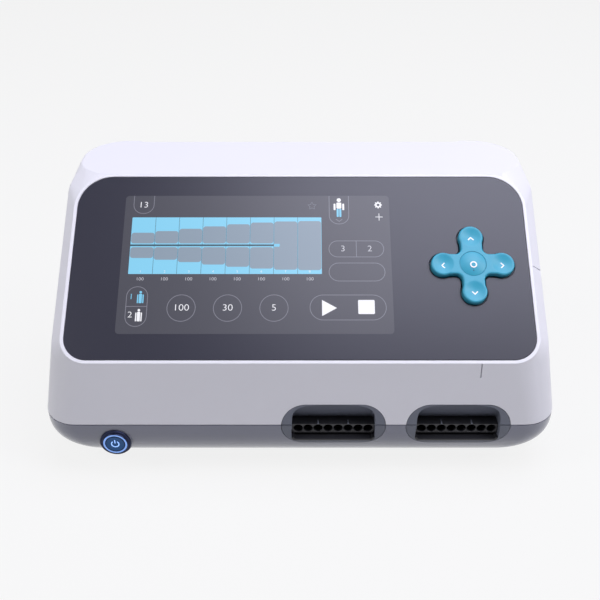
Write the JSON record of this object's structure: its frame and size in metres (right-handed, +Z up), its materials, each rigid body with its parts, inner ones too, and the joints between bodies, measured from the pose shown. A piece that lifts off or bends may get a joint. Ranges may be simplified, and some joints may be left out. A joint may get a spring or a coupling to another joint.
{
  "type": "compression therapy pump",
  "caption": "Table-top air compression therapy unit with a tilted glass touch panel, a rocking key pad, a lit power switch and two multi-way hose connectors.",
  "frame": {"origin": "on the table, under the centre of the whole box", "axes": "+Z up, +X to the right seen from the front, the front faces -Y"},
  "size_m": [0.292, 0.16, 0.1437],
  "materials": {
    "casing_white": "satin moulded ABS",
    "casing_grey": "satin moulded ABS",
    "glass_dark": "dark tinted, polished",
    "rubber_black": "moulded",
    "display_dark": "lit display under dark glass",
    "steel": "zinc plated",
    "key_blue": "satin moulded",
    "acetal_white": "moulded",
    "abs_inner_grey": "moulded",
    "silicone_white": "soft silicone",
    "board_green": "solder resist",
    "switch_navy": "anodised dark blue",
    "switch_cap_blue": "anodised blue",
    "light_blue": "lit translucent ring",
    "port_grey": "satin moulded",
    "block_black": "moulded",
    "manifold_grey": "moulded",
    "cast_aluminium": "die cast",
    "copper_wire": "enamelled copper wire",
    "felt_white": "felt",
    "brass_plain": "turned",
    "sensor_white": "moulded",
    "panel_grey": "fine textured",
    "tin_contact": "tin plated",
    "fuse_glass": "glass and metal caps"
  },
  "bodies": {
    "housing": {"upper_casing": "casing_white", "lower_casing": "casing_grey", "front_glass": "glass_dark", "glass_gasket": "rubber_black", "display_module": "display_dark", "display_bracket": "steel", "display_screws": "steel", "keypad_base": "abs_inner_grey", "keypad_membrane": "silicone_white", "keypad_board": "board_green", "keypad_screws": "steel", "power_switch_body": "switch_navy", "power_light_ring": "light_blue", "power_switch_nut": "steel", "left_port_bezel_upper": "port_grey", "left_port_bezel_lower": "port_grey", "right_port_bezel_upper": "port_grey", "right_port_bezel_lower": "port_grey", "left_port_block": "block_black", "right_port_block": "block_black", "left_manifold": "manifold_grey", "right_manifold": "manifold_grey", "left_solenoid_valves": "block_black", "right_solenoid_valves": "block_black", "left_chamber_hoses": "silicone_white", "right_chamber_hoses": "silicone_white", "manifold_screws": "steel", "left_pump_housing": "cast_aluminium", "right_pump_housing": "cast_aluminium", "left_pump_heads": "block_black", "right_pump_heads": "block_black", "left_pump_coils": "copper_wire", "right_pump_coils": "copper_wire", "pump_feed_hoses": "silicone_white", "pump_rubber_mounts": "rubber_black", "intake_filters": "felt_white", "power_supply_board": "board_green", "power_supply_components": "block_black", "board_standoffs": "brass_plain", "main_board": "board_green", "main_board_components": "block_black", "pressure_sensors": "sensor_white", "board_screws": "steel", "rear_panel": "panel_grey", "rear_panel_screws": "steel", "fan_frame": "block_black", "mains_inlet": "block_black", "inlet_contacts": "tin_contact", "rubber_feet": "rubber_black", "casing_screws": "steel"},
    "switch_cap": {"power_switch_cap": "switch_cap_blue"},
    "gimbal": {"keypad_gimbal": "acetal_white"},
    "cross": {"keypad_cross": "key_blue"},
    "center_key": {"keypad_center_key": "key_blue"},
    "fan": {"fan_rotor": "block_black"},
    "drawer": {"fuse_drawer": "block_black", "fuses": "fuse_glass"},
    "left_armature": {"left_pump_armature": "steel"},
    "right_armature": {"right_pump_armature": "steel"}
  },
  "joints": [
    {"name": "power_switch_press", "type": "slide", "parent": "housing", "child": "switch_cap", "axis": [0, 1, 0], "range_m": [0, 0.0015], "stiffness_N_per_m": 400},
    {"name": "keypad_tilt_up_down", "type": "hinge", "parent": "housing", "child": "gimbal", "pos_m": [0.0978, -0.01933, 0.10244], "axis": [1, 0, 0], "range_deg": [-3.5, 3.5], "stiffness_Nm_per_rad": 0.5},
    {"name": "keypad_tilt_left_right", "type": "hinge", "parent": "gimbal", "child": "cross", "pos_m": [0.0978, -0.01933, 0.10244], "axis": [0, 0.8131, 0.5821], "range_deg": [-3.5, 3.5], "stiffness_Nm_per_rad": 0.5},
    {"name": "center_key_press", "type": "slide", "parent": "cross", "child": "center_key", "axis": [0, 0.5821, -0.8131], "range_m": [0, 0.001], "stiffness_N_per_m": 600},
    {"name": "fan_spin", "type": "hinge", "parent": "housing", "child": "fan", "pos_m": [0.058, 0.0684, 0.098], "axis": [0, 1, 0], "continuous": true},
    {"name": "fuse_drawer_slide", "type": "slide", "parent": "housing", "child": "drawer", "axis": [0, 1, 0], "range_m": [0, 0.018]},
    {"name": "left_armature_stroke", "type": "slide", "parent": "housing", "child": "left_armature", "axis": [0, 1, 0], "range_m": [-0.0015, 0.0015], "stiffness_N_per_m": 1500},
    {"name": "right_armature_stroke", "type": "slide", "parent": "housing", "child": "right_armature", "axis": [0, 1, 0], "range_m": [-0.0015, 0.0015], "stiffness_N_per_m": 1500}
  ]
}
